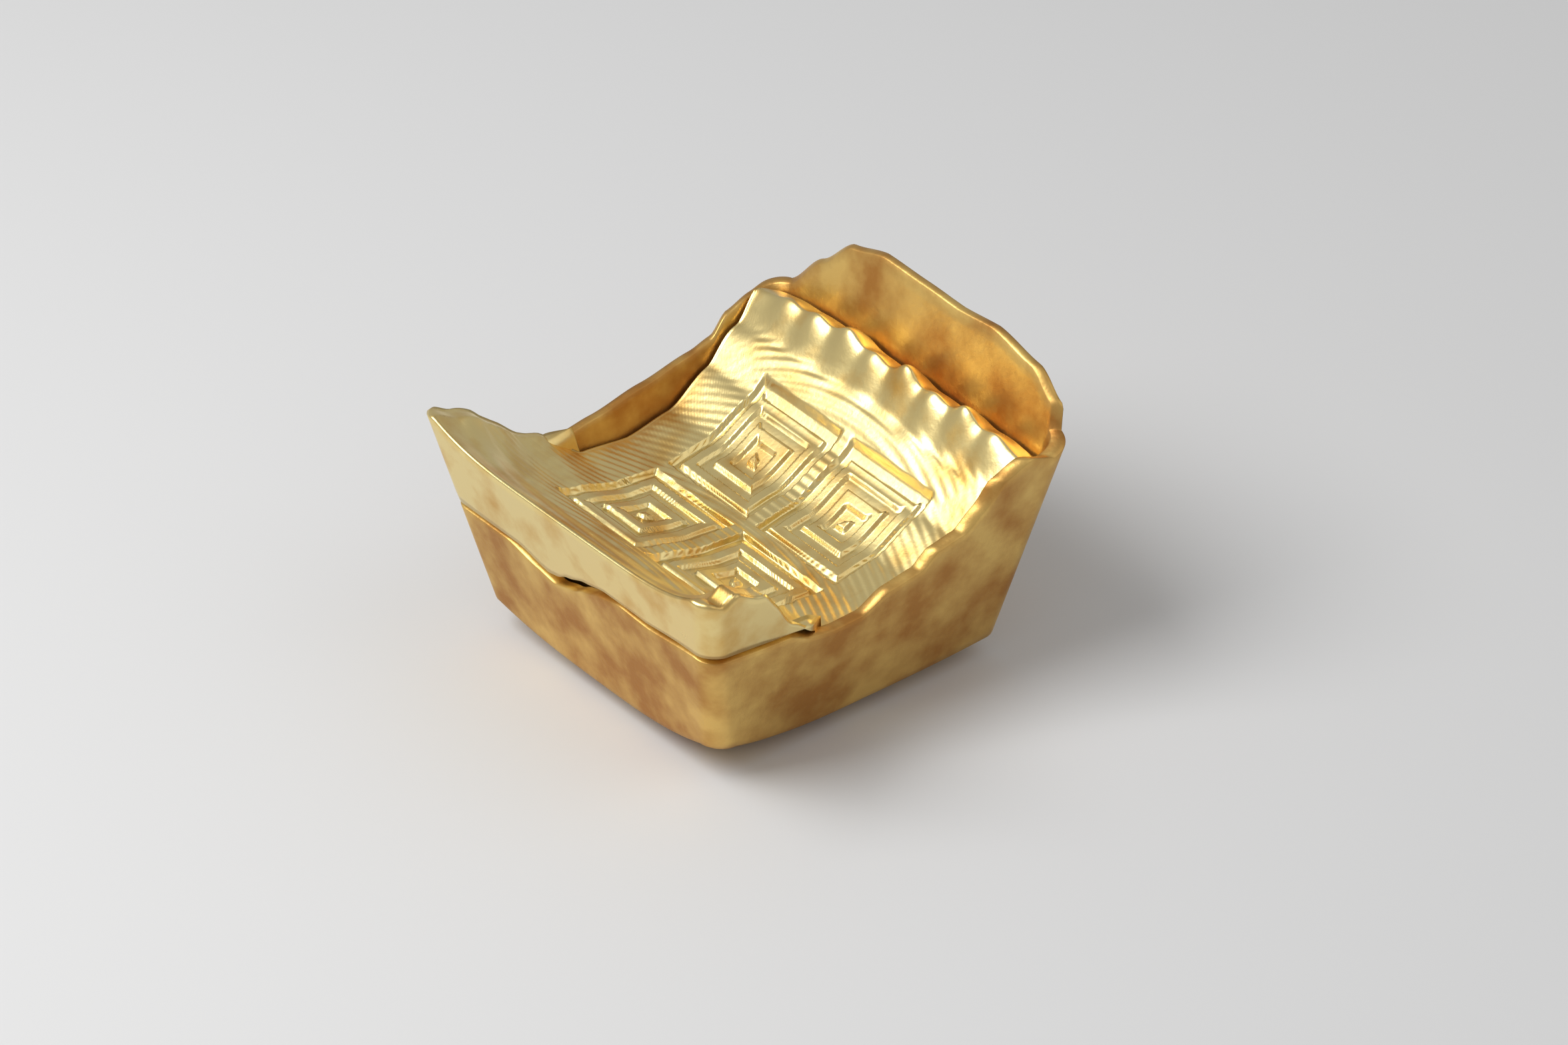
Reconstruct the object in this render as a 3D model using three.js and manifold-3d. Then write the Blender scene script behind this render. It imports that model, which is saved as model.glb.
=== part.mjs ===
// Gold sycee ingot cast in two pours: a thin flared shell with one tall ear, and the thick
// slab that filled it and ran over the low end. Millimetres, Z up.
// Origin: the middle of the flat base pad, z = 0. X runs from the low end to the ear.
import * as THREE from 'three'
import { mergeVertices } from 'three/addons/utils/BufferGeometryUtils.js'
import Module from 'manifold-3d'

const wasm = await Module()
wasm.setup()

// Driving dimensions.
const BASE_HALF = 12.6        // half width of the wall at ground level
const FLARE = 0.21            // outward lean of every wall, mm per mm of height
const CORNER_R = 1.6          // upright corner radius in plan
const PAD_HALF = 8.5          // half width of the flat resting pad
const FLOOR_Z = 3.2           // inside floor of the shell
const SKIRT_Z = 1.6           // height where the rounded base turns into the wall
const WALL_THIN = 0.65        // ear and back wall
const WALL_THICK = 1.0        // front wall and low end wall
const GAP = 0.3               // cold seam between the two pours
const STAMP = 8.9             // side of a square stamp
const STAMP_OFF = 5.0         // stamp centre from the middle of the cross
const STAMP_DEPTH = 0.5
const SLIT_W = 0.42           // slit between ear and back wall
const SLIT_Z = 14.6           // where the slit ends

// Heights along each side: [position along the side, z].
const RIM_FRONT = [[-15, 11.8], [-11.6, 11.5], [-8.8, 11.3], [-6.7, 10.4], [-4.4, 10.1], [-1.5, 10.2],
  [1, 11.5], [4.1, 12], [5.4, 13.3], [7.9, 13.8], [9.4, 15.4], [10.4, 17.3], [12.5, 18.3], [15, 17.5]]
const RIM_LOW = [[-15, 12.1], [-9.1, 11.6], [-5.7, 11.8], [-3.1, 11.3], [-0.7, 10.5], [1, 9.8],
  [3.6, 9.2], [5.9, 9.6], [9.4, 10.4], [15, 10.4]]
const RIM_EAR = [[-15, 18.2], [-14.2, 20.2], [-11.3, 21.9], [-6.8, 22.8], [-3.3, 22.6], [0.4, 22.8],
  [4.8, 23], [8.3, 22.2], [11.5, 19.8], [15, 17]]
const RIM_BACK = [[-15, 10.4], [-9, 11], [-5.7, 11.8], [-2.3, 12.2], [2.7, 13], [7.7, 13.8],
  [9.9, 14.3], [11.4, 15.6], [13.7, 16.3], [15, 16.6]]
// Slab top along its middle, and how far its two long edges stand above that.
const TOP = [[-17, 16.9], [-16, 16.2], [-14, 14.6], [-11.5, 12.6], [-8, 10.8], [-4, 9.8], [0, 9.5],
  [4, 10.2], [8, 12.2], [11, 14.8], [13.3, 17.1], [15.5, 16.5]]
const LIFT_FRONT = [[-17, 1.2], [-15, 2], [-13.7, 3.6], [-11.1, 4.3], [-9.9, 3.6], [-8, 2.2],
  [-5.5, 1.2], [-4.2, 0], [16, 0]]
const LIFT_BACK = [[-17, 1.3], [-14.1, 2.3], [-12.2, 3.1], [-10.5, 2.5], [-8.7, 1.9], [-7.1, 1.6],
  [-5.5, 0.9], [-4.2, 0.4], [9, 0.2], [12, -0.5], [16, -0.6]]
// Lumps on the ridge at the ear foot: [x, y, radius, height].
const LUMPS = [[13.1, -11.5, 1.5, 0.8], [13.4, -8.2, 1.3, 1.3], [12.9, -5, 1.4, 0.9],
  [13.5, -1.8, 1.3, 1.4], [13, 1.5, 1.3, 0.8], [13.6, 4.6, 1.5, 1.2], [13, 8, 1.4, 0.8],
  [13.2, 11.2, 1.3, 0.5]]

const at = (table, s) => {
  if (s <= table[0][0]) return table[0][1]
  for (let i = 1; i < table.length; i++) {
    const [s0, z0] = table[i - 1], [s1, z1] = table[i]
    if (s <= s1) {
      const f = (s - s0) / (s1 - s0)
      return z0 + (z1 - z0) * f * f * (3 - 2 * f) * 0.5 + (z1 - z0) * f * 0.5
    }
  }
  return table[table.length - 1][1]
}
const smooth = (lo, hi, v) => {
  const f = Math.min(1, Math.max(0, (v - lo) / (hi - lo)))
  return f * f * (3 - 2 * f)
}
const half = (z) => BASE_HALF + FLARE * z

// Height of the slab's top surface.
const top = (x, y) => {
  const edge = Math.min(1, Math.abs(y) / 14.6) ** 5
  let z = at(TOP, x) + edge * at(y < 0 ? LIFT_FRONT : LIFT_BACK, x) + 0.03 * y * smooth(-12, -6, x)
  for (const [lx, ly, r, h] of LUMPS) z += h * Math.exp(-((x - lx) ** 2 + (y - ly) ** 2) / (r * r))
  return z
}

// Stations round a rounded square, anticlockwise: square part c, corner part n, side and
// position along it.
const stations = []
const SIDE_STEPS = 18, CORNER_STEPS = 5
for (let q = 0; q < 4; q++) {
  const turn = (x, y) => [[x, y], [-y, x], [-x, -y], [y, -x]][q]
  for (let i = 0; i < SIDE_STEPS; i++) {
    const s = -1 + (2 * i) / SIDE_STEPS
    stations.push({ c: turn(1, s), n: turn(1, 0), side: q, mix: 0 })
  }
  for (let i = 0; i < CORNER_STEPS; i++) {
    const a = (Math.PI / 2) * (i / CORNER_STEPS)
    stations.push({ c: turn(1, 1), n: turn(Math.cos(a), Math.sin(a)), side: q, mix: i / CORNER_STEPS })
  }
}
const RIMS = [[RIM_EAR, 1], [RIM_BACK, 0], [RIM_LOW, 1], [RIM_FRONT, 0]]
const WALLS = [WALL_THIN, WALL_THIN, WALL_THICK, WALL_THICK]
for (const st of stations) {
  const rimOf = (side) => at(RIMS[side][0], 14.9 * st.c[RIMS[side][1]])
  const next = (st.side + 1) % 4
  st.rim = rimOf(st.side) * (1 - st.mix) + rimOf(next) * st.mix
  st.wall = WALLS[st.side] * (1 - st.mix) + WALLS[next] * st.mix
  const [cx, cy] = st.c
  const corner = Math.abs(cx * cy) ** 3
  st.lift = corner * (cx < 0 ? (cy < 0 ? 1.5 : 1.0) : 0.3)
  st.over = st.side === 2 ? 1 : 1 - smooth(-7, -5, 14.9 * cx)
}
const plan = (st, a) => {
  const r = Math.min(CORNER_R, a * 0.3)
  return [(a - r) * st.c[0] + r * st.n[0], (a - r) * st.c[1] + r * st.n[1]]
}

// Skins a list of rings between a first and a last pole point.
const skin = (first, rings, last) => {
  const pos = [...first]
  for (const ring of rings) for (const p of ring) pos.push(...p)
  pos.push(...last)
  const n = stations.length, idx = [], end = pos.length / 3 - 1
  for (let k = 0; k < n; k++) {
    const l = (k + 1) % n
    idx.push(0, 1 + l, 1 + k)
    for (let i = 0; i + 1 < rings.length; i++) {
      const a = 1 + i * n + k, b = 1 + i * n + l
      idx.push(a, b, b + n, a, b + n, a + n)
    }
    const e = 1 + (rings.length - 1) * n
    idx.push(e + k, e + l, end)
  }
  const g = new THREE.BufferGeometry()
  g.setAttribute('position', new THREE.Float32BufferAttribute(pos, 3))
  g.setIndex(idx)
  return g
}
const ringOf = (aOf, zOf) => stations.map((st) => {
  const z = zOf(st)
  return [...plan(st, aOf(st, z)), z]
})
const toManifold = (geometry) => {
  const g = geometry.clone()
  g.deleteAttribute('normal')
  g.deleteAttribute('uv')
  const m = mergeVertices(g)
  return new wasm.Manifold(new wasm.Mesh({
    numProp: 3, vertProperties: new Float32Array(m.attributes.position.array),
    triVerts: new Uint32Array(m.index.array) }))
}
const toGeometry = (solid) => {
  const mesh = solid.getMesh()
  const g = new THREE.BufferGeometry()
  g.setAttribute('position', new THREE.BufferAttribute(new Float32Array(mesh.vertProperties), 3))
  g.setIndex(new THREE.BufferAttribute(new Uint32Array(mesh.triVerts), 1))
  g.computeVertexNormals()
  return g
}

// Shell: resting pad, rounded base, leaning walls, thin rim, inside wall, inside floor.
const skirt = (st) => SKIRT_Z + st.lift
const shellRings = [
  ringOf(() => PAD_HALF * 0.5, () => 0),
  ringOf(() => PAD_HALF, () => 0),
  ringOf(() => 10.6, (st) => 0.22 + 0.25 * st.lift),
  ringOf(() => 11.9, (st) => 0.75 + 0.6 * st.lift),
]
for (const f of [0, 0.2, 0.4, 0.6, 0.8, 0.95]) {
  shellRings.push(ringOf((st, z) => half(z), (st) => skirt(st) + (st.rim - 0.12 - skirt(st)) * f))
}
shellRings.push(ringOf((st, z) => half(z) - 0.06, (st) => st.rim - 0.04))
shellRings.push(ringOf((st, z) => half(z) - st.wall * 0.5, (st) => st.rim))
shellRings.push(ringOf((st, z) => half(z) - st.wall + 0.06, (st) => st.rim - 0.04))
for (const f of [0.95, 0.75, 0.5, 0.25, 0]) {
  shellRings.push(ringOf((st, z) => half(z) - st.wall,
    (st) => FLOOR_Z + 0.7 + (st.rim - 0.12 - FLOOR_Z - 0.7) * f))
}
shellRings.push(ringOf((st, z) => half(z) - st.wall - 0.7, () => FLOOR_Z))
shellRings.push(ringOf(() => 6, () => FLOOR_Z))
const shellSolid = toManifold(skin([0, 0, 0], shellRings, [0, 0, FLOOR_Z]))

// The slit parts the ear from the back wall at their shared corner.
const slitBox = new THREE.BoxGeometry(6, SLIT_W, 12)
slitBox.rotateZ(Math.PI / 4)
slitBox.translate(half(SLIT_Z + 2) - 0.6, half(SLIT_Z + 2) - 0.6, SLIT_Z + 6)
const outerShell = toGeometry(shellSolid.subtract(toManifold(slitBox)))

// Slab: underside on the shell floor, sides inside the walls, ledge over the low rims, top.
const seat = FLOOR_Z + GAP
const inside = (st, z) => half(z) - st.wall - GAP
for (const st of stations) {
  let z = 14
  for (let i = 0; i < 6; i++) {
    const a = half(z) - (1 - st.over) * (st.wall + GAP)
    z = top(...plan(st, a))
  }
  st.top = z
}
stations.forEach((st, k) => {
  const n = stations.length
  const near = Math.max(st.rim, stations[(k + 1) % n].rim, stations[(k + n - 1) % n].rim)
  st.ledge = st.over > 0 ? near + GAP : Math.min(st.rim + GAP, st.top - 0.6)
})
const across = (st, z) => inside(st, z) + st.over * (st.wall + GAP)
const slabRings = [
  ringOf(() => 6, () => seat),
  ringOf((st, z) => inside(st, z + 0.7) - 0.7, () => seat),
]
for (const f of [0, 0.33, 0.66, 1]) {
  slabRings.push(ringOf(inside, (st) => seat + 0.7 + (st.ledge - seat - 0.7) * f))
}
slabRings.push(ringOf((st, z) => across(st, z) - 0.02, (st) => st.ledge + 0.03))
for (const f of [0.35, 0.7]) {
  slabRings.push(ringOf(across, (st) => st.ledge + (st.top - 0.2 - st.ledge) * f))
}
slabRings.push(ringOf(across, (st) => st.top - 0.2))
const brim = ringOf((st, z) => across(st, z) - 0.22, (st) => st.top)
slabRings.push(brim)
for (const f of [0.96, 0.92, 0.88, 0.84, 0.79, 0.73, 0.66, 0.58, 0.48, 0.36, 0.2]) {
  slabRings.push(brim.map(([x, y]) => [x * f, y * f, top(x * f, y * f)]))
}
let slabSolid = toManifold(skin([0, 0, seat], slabRings, [0, 0, top(0, 0)]))

// A square die whose face follows the slab's top, pressed in by the stamp depth.
const die = (cx, cy) => {
  const g = new THREE.BoxGeometry(STAMP, STAMP, 1, 9, 9, 1)
  const p = g.attributes.position
  for (let i = 0; i < p.count; i++) {
    const x = p.getX(i) + cx, y = p.getY(i) + cy
    p.setXYZ(i, x, y, top(x, y) + (p.getZ(i) > 0 ? 3 : -STAMP_DEPTH))
  }
  return toManifold(g)
}
for (const sx of [-1, 1]) for (const sy of [-1, 1]) {
  slabSolid = slabSolid.subtract(die(sx * STAMP_OFF, sy * STAMP_OFF))
}
const stampedSlab = toGeometry(slabSolid)

const gold = (color, roughness) => new THREE.MeshStandardMaterial({ color, metalness: 1, roughness })
const group = new THREE.Group()
group.name = 'gold_sycee_ingot'
const add = (name, geometry, material) => {
  const mesh = new THREE.Mesh(geometry, material)
  mesh.name = name
  group.add(mesh)
}
add('outer_shell', outerShell, gold(0xc98a2a, 0.42))
add('stamped_slab', stampedSlab, gold(0xe2b64a, 0.28))
export default group
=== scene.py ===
import math
import bpy
import numpy as np
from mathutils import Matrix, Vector


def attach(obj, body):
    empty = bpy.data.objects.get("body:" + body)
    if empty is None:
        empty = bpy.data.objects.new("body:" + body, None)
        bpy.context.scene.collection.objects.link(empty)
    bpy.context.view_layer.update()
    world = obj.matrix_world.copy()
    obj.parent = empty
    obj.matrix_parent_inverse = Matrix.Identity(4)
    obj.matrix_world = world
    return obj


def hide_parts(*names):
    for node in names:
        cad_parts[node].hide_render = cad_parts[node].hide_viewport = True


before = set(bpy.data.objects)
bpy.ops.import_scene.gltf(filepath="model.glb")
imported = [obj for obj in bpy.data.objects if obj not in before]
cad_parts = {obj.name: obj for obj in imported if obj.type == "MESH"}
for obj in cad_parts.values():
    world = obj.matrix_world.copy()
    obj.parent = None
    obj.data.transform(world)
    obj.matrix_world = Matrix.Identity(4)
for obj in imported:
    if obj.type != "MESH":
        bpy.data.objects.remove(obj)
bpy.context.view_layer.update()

# outer_shell
# The first pour: a thin pan with flared walls, a tall ear and a rounded base with a small
# flat pad. Satin gold, mottled orange. Sizes are in mm; it is one skin of stacked rings.
FIT = 0.9945  # keeps the dense mesh inside the box of the solid part
MM = 0.001 * FIT
BASE_HALF, FLARE, CORNER_R = 12.6, 0.21, 1.6
FLOOR_Z, SKIRT_Z, GAP = 3.2, 1.6, 0.3
WALL_THIN, WALL_THICK = 0.65, 1.0
FILLET, FLOOR_HALF = 0.7, 6
LIP_START, LIP_DROP, LIP_IN = 0.12, 0.04, 0.06
SIDE_REACH = 14.9  # position in the tables below of each side's end
FOOT_FRONT, FOOT_BACK, FOOT_EAR = 1.5, 1.0, 0.3  # how far the base's corners are lifted
RUN_FULL, RUN_END = -7, -5  # X where the slab's run over the side walls starts to fade, and ends
SIDE_STEPS, CORNER_STEPS = 110, 12
OUTSIDE_ROWS, INSIDE_ROWS = 24, 20
# Rings under the base: half width, height, share of the corner lift.
BASE_RINGS = [(4, 0, 0), (8.5, 0, 0), (9.6, 0.06, 0.05), (10.6, 0.22, 0.25), (11.9, 0.75, 0.6)]
# Rim heights: (position along the side, height).
RIM_FRONT = [(-15, 11.8), (-11.6, 11.5), (-8.8, 11.3), (-6.7, 10.4), (-4.4, 10.1), (-1.5, 10.2),
             (1, 11.5), (4.1, 12), (5.4, 13.3), (7.9, 13.8), (9.4, 15.4), (10.4, 17.3),
             (12.5, 18.3), (15, 17.5)]
RIM_LOW = [(-15, 12.1), (-9.1, 11.6), (-5.7, 11.8), (-3.1, 11.3), (-0.7, 10.5), (1, 9.8),
           (3.6, 9.2), (5.9, 9.6), (9.4, 10.4), (15, 10.4)]
RIM_EAR = [(-15, 18.2), (-14.2, 20.2), (-11.3, 21.9), (-6.8, 22.8), (-3.3, 22.6), (0.4, 22.8),
           (4.8, 23), (8.3, 22.2), (11.5, 19.8), (15, 17)]
RIM_BACK = [(-15, 10.4), (-9, 11), (-5.7, 11.8), (-2.3, 12.2), (2.7, 13), (7.7, 13.8),
            (9.9, 14.3), (11.4, 15.6), (13.7, 16.3), (15, 16.6)]


def at(table, s):
    """Height at s along a table, eased half way between straight and smooth steps."""
    xs, zs = np.array(table, float).T
    s = np.clip(np.asarray(s, float), xs[0], xs[-1])
    i = np.clip(np.searchsorted(xs, s) - 1, 0, len(xs) - 2)
    f = (s - xs[i]) / (xs[i + 1] - xs[i])
    return zs[i] + (zs[i + 1] - zs[i]) * 0.5 * (f * f * (3 - 2 * f) + f)


def smooth(lo, hi, v):
    """0 below lo, 1 above hi, eased between."""
    f = np.clip((v - lo) / (hi - lo), 0, 1)
    return f * f * (3 - 2 * f)


def half(z):
    """Half width of the flared wall: base half width plus lean times height."""
    return BASE_HALF + FLARE * z


def make_stations(side_steps, corner_steps):
    """Rounded square seen from above: square part c, corner part n, side, blend to next."""
    turns = [lambda x, y: (x, y), lambda x, y: (-y, x), lambda x, y: (-x, -y), lambda x, y: (y, -x)]
    rows = []
    for side, turn in enumerate(turns):
        for i in range(side_steps):
            rows.append((*turn(1, -1 + 2 * i / side_steps), *turn(1, 0), side, 0.0))
        for i in range(corner_steps):
            a = math.pi / 2 * i / corner_steps
            rows.append((*turn(1, 1), *turn(math.cos(a), math.sin(a)), side, i / corner_steps))
    return np.array(rows)


CX, CY, NX, NY, SIDE, MIX = make_stations(SIDE_STEPS, CORNER_STEPS).T
COUNT = len(CX)
THIS = SIDE.astype(int)
NEXT = (THIS + 1) % 4
LOW_SIDE = 2
side_rims = np.array([at(RIM_EAR, SIDE_REACH * CY), at(RIM_BACK, SIDE_REACH * CX),
                      at(RIM_LOW, SIDE_REACH * CY), at(RIM_FRONT, SIDE_REACH * CX)])
side_walls = np.array([WALL_THIN, WALL_THIN, WALL_THICK, WALL_THICK])
every = np.arange(COUNT)
RIM = side_rims[THIS, every] * (1 - MIX) + side_rims[NEXT, every] * MIX
WALL = side_walls[THIS] * (1 - MIX) + side_walls[NEXT] * MIX
LIFT = np.abs(CX * CY) ** 3 * np.where(CX < 0, np.where(CY < 0, FOOT_FRONT, FOOT_BACK), FOOT_EAR)
OVER = np.where(SIDE == LOW_SIDE, 1.0, 1 - smooth(RUN_FULL, RUN_END, SIDE_REACH * CX))


def ring(a, z):
    """One ring of points: half width a and height z at every station."""
    a = np.broadcast_to(np.asarray(a, float), (COUNT,))
    z = np.broadcast_to(np.asarray(z, float), (COUNT,))
    r = np.minimum(CORNER_R, a * 0.3)
    return np.stack([(a - r) * CX + r * NX, (a - r) * CY + r * NY, z], 1)


def skin(name, first, rings, last, mat):
    """Closed body: a pole, rings of points joined by quads, a last pole."""
    pts = np.concatenate([[first], *rings, [last]]) * MM
    n, faces = COUNT, []
    last_ring = 1 + (len(rings) - 1) * n
    for k in range(n):
        after = (k + 1) % n
        faces.append((0, 1 + after, 1 + k))
        for i in range(len(rings) - 1):
            a, b = 1 + i * n + k, 1 + i * n + after
            faces.append((a, b, b + n, a + n))
        faces.append((last_ring + k, last_ring + after, len(pts) - 1))
    mesh = bpy.data.meshes.new(name)
    mesh.from_pydata(pts.tolist(), [], faces)
    mesh.shade_smooth()
    mesh.materials.append(mat)
    obj = bpy.data.objects.new(name, mesh)
    bpy.context.scene.collection.objects.link(obj)
    return obj


STAIN_SCALE, GRAIN_SCALE, GRAIN_DEPTH, STAIN_ROUGHER = 260, 2600, 0.0001, 0.18


def gold(name, base, stain, low, high, rough, bump):
    """Gold: stain colour where noise is under low, base colour where over high, fine grain."""
    mat = bpy.data.materials.new(name)
    mat.use_nodes = True
    nt = mat.node_tree
    bsdf = nt.nodes["Principled BSDF"]
    bsdf.inputs["Metallic"].default_value = 1.0
    co = nt.nodes.new("ShaderNodeTexCoord")
    noise = nt.nodes.new("ShaderNodeTexNoise")
    noise.inputs["Scale"].default_value = STAIN_SCALE
    noise.inputs["Detail"].default_value = 8
    ramp = nt.nodes.new("ShaderNodeValToRGB")
    ramp.color_ramp.elements[0].position = low
    ramp.color_ramp.elements[1].position = high
    ramp.color_ramp.elements[0].color = (*stain, 1)
    ramp.color_ramp.elements[1].color = (*base, 1)
    rr = nt.nodes.new("ShaderNodeMapRange")
    rr.inputs["To Min"].default_value = rough + STAIN_ROUGHER
    rr.inputs["To Max"].default_value = rough
    grain = nt.nodes.new("ShaderNodeTexNoise")
    grain.inputs["Scale"].default_value = GRAIN_SCALE
    grain.inputs["Detail"].default_value = 4
    bp = nt.nodes.new("ShaderNodeBump")
    bp.inputs["Strength"].default_value = bump
    bp.inputs["Distance"].default_value = GRAIN_DEPTH
    for texture in (noise, grain):
        nt.links.new(co.outputs["Object"], texture.inputs["Vector"])
    nt.links.new(noise.outputs["Fac"], ramp.inputs["Fac"])
    nt.links.new(noise.outputs["Fac"], rr.inputs["Value"])
    nt.links.new(ramp.outputs["Color"], bsdf.inputs["Base Color"])
    nt.links.new(rr.outputs["Result"], bsdf.inputs["Roughness"])
    nt.links.new(grain.outputs["Fac"], bp.inputs["Height"])
    nt.links.new(bp.outputs["Normal"], bsdf.inputs["Normal"])
    return mat


rings = [ring(a, z + share * LIFT) for a, z, share in BASE_RINGS]
skirt = SKIRT_Z + LIFT
for f in np.linspace(0, 1, OUTSIDE_ROWS):
    z = skirt + (RIM - LIP_START - skirt) * f
    rings.append(ring(half(z), z))
rings += [ring(half(RIM) - LIP_IN, RIM - LIP_DROP), ring(half(RIM) - WALL * 0.5, RIM),
          ring(half(RIM) - WALL + LIP_IN, RIM - LIP_DROP)]
for f in np.linspace(1, 0, INSIDE_ROWS):
    z = FLOOR_Z + FILLET + (RIM - LIP_START - FLOOR_Z - FILLET) * f
    rings.append(ring(half(z) - WALL, z))
rings += [ring(half(FLOOR_Z) - WALL - FILLET, FLOOR_Z), ring(FLOOR_HALF, FLOOR_Z)]
shell_gold = gold("shell_gold", base=(0.80, 0.54, 0.17), stain=(0.50, 0.24, 0.06),
                  low=0.36, high=0.66, rough=0.36, bump=0.25)
shell = skin("vis_outer_shell", (0, 0, 0), rings, (0, 0, FLOOR_Z), shell_gold)
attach(shell, "root")
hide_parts("outer_shell")

# stamped_slab
# The second pour: polished gold that fills the pan and runs over the low end, one skin of
# rings. The top has fine ripples, four pressed panels of nested squares, and lumps by the ear.
SLAB_ROWS, TOP_ROWS = 10, 150
EDGE_REACH, EDGE_POWER = 14.6, 5
TILT, TILT_START, TILT_FULL = 0.03, -12, -6
PANEL_BEVEL = 0.12
STROKE_PITCH, STROKE_STEP, STROKE_SOFT, STROKE_HIGH = 1.7, 0.25, 0.2, 0.32
RIPPLE_HIGH, RIPPLE_PITCH, RIPPLE_BOW = 0.03, 0.7, 0.02
RIPPLE_END, RIPPLE_FADE = 12.4, 1.5
LEDGE_LOW, LEDGE_IN, LEDGE_UP = 0.6, 0.02, 0.03
BRIM_DROP, BRIM_IN, BRIM_FADE = 0.2, 0.22, 0.05
# The top's height along its middle, then how far its two long edges stand above that.
TOP = [(-17, 16.9), (-16, 16.2), (-14, 14.6), (-11.5, 12.6), (-8, 10.8), (-4, 9.8), (0, 9.5),
       (4, 10.2), (8, 12.2), (11, 14.8), (13.3, 17.1), (15.5, 16.5)]
LIFT_FRONT = [(-17, 1.2), (-15, 2), (-13.7, 3.6), (-11.1, 4.3), (-9.9, 3.6), (-8, 2.2),
              (-5.5, 1.2), (-4.2, 0), (16, 0)]
LIFT_BACK = [(-17, 1.3), (-14.1, 2.3), (-12.2, 3.1), (-10.5, 2.5), (-8.7, 1.9), (-7.1, 1.6),
             (-5.5, 0.9), (-4.2, 0.4), (9, 0.2), (12, -0.5), (16, -0.6)]
# Lumps: (x, y, radius, height).
LUMPS = [(13.1, -11.5, 1.5, 0.8), (13.4, -8.2, 1.3, 1.3), (12.9, -5, 1.4, 0.9),
         (13.5, -1.8, 1.3, 1.4), (13, 1.5, 1.3, 0.8), (13.6, 4.6, 1.5, 1.2), (13, 8, 1.4, 0.8),
         (13.2, 11.2, 1.3, 0.5)]
STAMP, STAMP_OFF, STAMP_DEPTH = 8.9, 5.0, 0.5


def top(x, y):
    """Saddle height: middle profile plus raised long edges plus lumps."""
    edge = np.minimum(1, np.abs(y) / EDGE_REACH) ** EDGE_POWER
    z = at(TOP, x) + edge * np.where(y < 0, at(LIFT_FRONT, x), at(LIFT_BACK, x))
    z = z + TILT * y * smooth(TILT_START, TILT_FULL, x)
    for lx, ly, r, h in LUMPS:
        z = z + h * np.exp(-((x - lx) ** 2 + (y - ly) ** 2) / (r * r))
    return z


def detail(x, y):
    """Outside the panels, a sine ripple; inside, a pressed ground with raised square rings."""
    dx, dy = np.abs(x) - STAMP_OFF, np.abs(y) - STAMP_OFF
    d = np.maximum(np.abs(dx), np.abs(dy))
    inside = 1 - smooth(STAMP / 2 - PANEL_BEVEL, STAMP / 2, d)
    wave = np.cos(2 * math.pi * (d + STROKE_STEP * (dx > dy)) / STROKE_PITCH)
    stroke = smooth(-STROKE_SOFT, STROKE_SOFT, wave)
    ripple = RIPPLE_HIGH * np.sin(2 * math.pi * (x + RIPPLE_BOW * y * y) / RIPPLE_PITCH)
    ripple = ripple * smooth(0, RIPPLE_FADE, RIPPLE_END - np.abs(x))
    return -inside * (STAMP_DEPTH - STROKE_HIGH * stroke) + (1 - inside) * ripple


# The edge's height and half width depend on each other, so they are settled in a few rounds.
FIRST_EDGE_Z, ROUNDS = 14.0, 6
top_z = np.full(COUNT, FIRST_EDGE_Z)
for _ in range(ROUNDS):
    p = ring(half(top_z) - (1 - OVER) * (WALL + GAP), top_z)
    top_z = top(p[:, 0], p[:, 1])
# The ledge clears the highest rim within a few stations on either side.
STATIONS_NEAR = 7
near = np.max([np.roll(RIM, s) for s in range(-STATIONS_NEAR, STATIONS_NEAR + 1)], axis=0)
ledge = np.where(OVER > 0, near + GAP, np.minimum(RIM + GAP, top_z - LEDGE_LOW))
seat = FLOOR_Z + GAP


def inner(z):
    """Slab side inside the shell: wall less its thickness and the seam."""
    return half(z) - WALL - GAP


def across(z):
    """Slab side above the ledge, flush with the outer wall where it runs over."""
    return inner(z) + OVER * (WALL + GAP)


rings = [ring(FLOOR_HALF, seat), ring(inner(seat + FILLET) - FILLET, seat)]
for f in np.linspace(0, 1, SLAB_ROWS):
    z = seat + FILLET + (ledge - seat - FILLET) * f
    rings.append(ring(inner(z), z))
rings.append(ring(across(ledge) - LEDGE_IN, ledge + LEDGE_UP))
for f in np.linspace(0.1, 1, SLAB_ROWS):
    z = ledge + (top_z - BRIM_DROP - ledge) * f
    rings.append(ring(across(z), z))
brim = ring(across(top_z) - BRIM_IN, top_z)
rings.append(brim)
for f in np.linspace(0.993, 0.01, TOP_ROWS):
    x, y = brim[:, 0] * f, brim[:, 1] * f
    rings.append(np.stack([x, y, top(x, y) + detail(x, y) * smooth(0, BRIM_FADE, 1 - f)], 1))
slab_gold = gold("slab_gold", base=(0.90, 0.72, 0.32), stain=(0.72, 0.44, 0.12),
                 low=0.28, high=0.52, rough=0.22, bump=0.12)
centre_z = float(top(np.array(0.0), np.array(0.0)))
slab = skin("vis_stamped_slab", (0, 0, seat), rings, (0, 0, centre_z), slab_gold)
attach(slab, "root")
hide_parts("stamped_slab")

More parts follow.
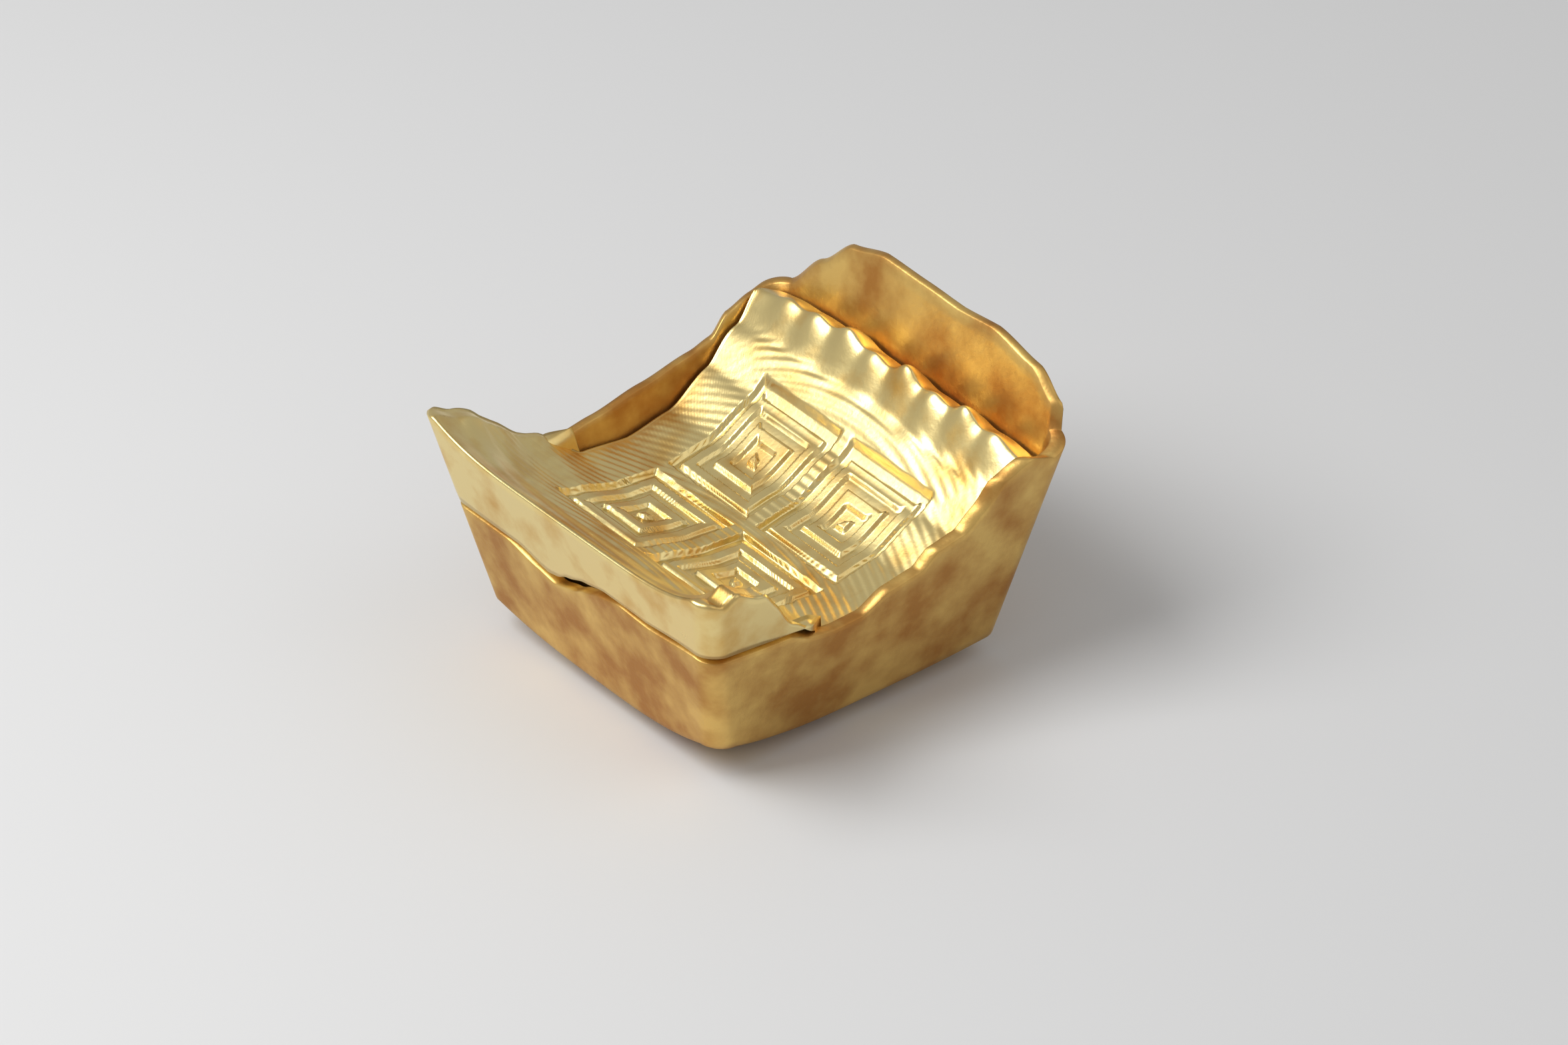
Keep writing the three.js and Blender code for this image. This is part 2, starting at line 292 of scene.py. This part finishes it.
# floor, light and camera
# A plain pale floor, a large soft key light, a weaker fill, an even surround and the camera.
FLOOR_SIZE = 6
bpy.ops.mesh.primitive_plane_add(size=FLOOR_SIZE)
floor = bpy.context.object
floor.name = "floor"
paper = bpy.data.materials.new("floor_paper")
paper.use_nodes = True
paper_shader = paper.node_tree.nodes["Principled BSDF"]
paper_shader.inputs["Base Color"].default_value = (0.66, 0.66, 0.66, 1)
paper_shader.inputs["Roughness"].default_value = 0.9
floor.data.materials.append(paper)


def area(name, direction, dist, size, power):
    """Square soft light at a distance along a direction, facing the object."""
    data = bpy.data.lights.new(name, "AREA")
    data.size, data.energy = size, power
    obj = bpy.data.objects.new(name, data)
    v = Vector(direction).normalized()
    obj.location = v * dist
    obj.rotation_euler = (-v).to_track_quat("-Z", "Y").to_euler()
    bpy.context.scene.collection.objects.link(obj)


area("key", (-0.69, 0.31, 1.0), dist=0.35, size=0.22, power=1.0)
area("fill", (0.6, -0.8, 0.9), dist=0.5, size=0.4, power=0.25)
world = bpy.data.worlds.new("studio")
bpy.context.scene.world = world
world.use_nodes = True
world.node_tree.nodes["Background"].inputs["Color"].default_value = (0.85, 0.85, 0.85, 1)
world.node_tree.nodes["Background"].inputs["Strength"].default_value = 0.5

SENSOR, LENS = 36, 132.36
CAMERA_AT = (-0.210191, -0.263969, 0.233052)
TURN, DOWN = math.radians(39), math.radians(33.5)
PHOTO_WIDTH, PHOTO_HEIGHT = 2353, 1568
lens = bpy.data.cameras.new("camera")
lens.sensor_width, lens.lens = SENSOR, LENS
lens.clip_start = 0.01
camera = bpy.data.objects.new("camera", lens)
camera.location = CAMERA_AT
away = Vector((math.sin(TURN) * math.cos(DOWN), math.cos(TURN) * math.cos(DOWN), -math.sin(DOWN)))
camera.rotation_euler = away.to_track_quat("-Z", "Y").to_euler()
bpy.context.scene.collection.objects.link(camera)
bpy.context.scene.camera = camera
bpy.context.scene.render.resolution_x = PHOTO_WIDTH
bpy.context.scene.render.resolution_y = PHOTO_HEIGHT
bpy.context.scene.view_settings.view_transform = "Standard"
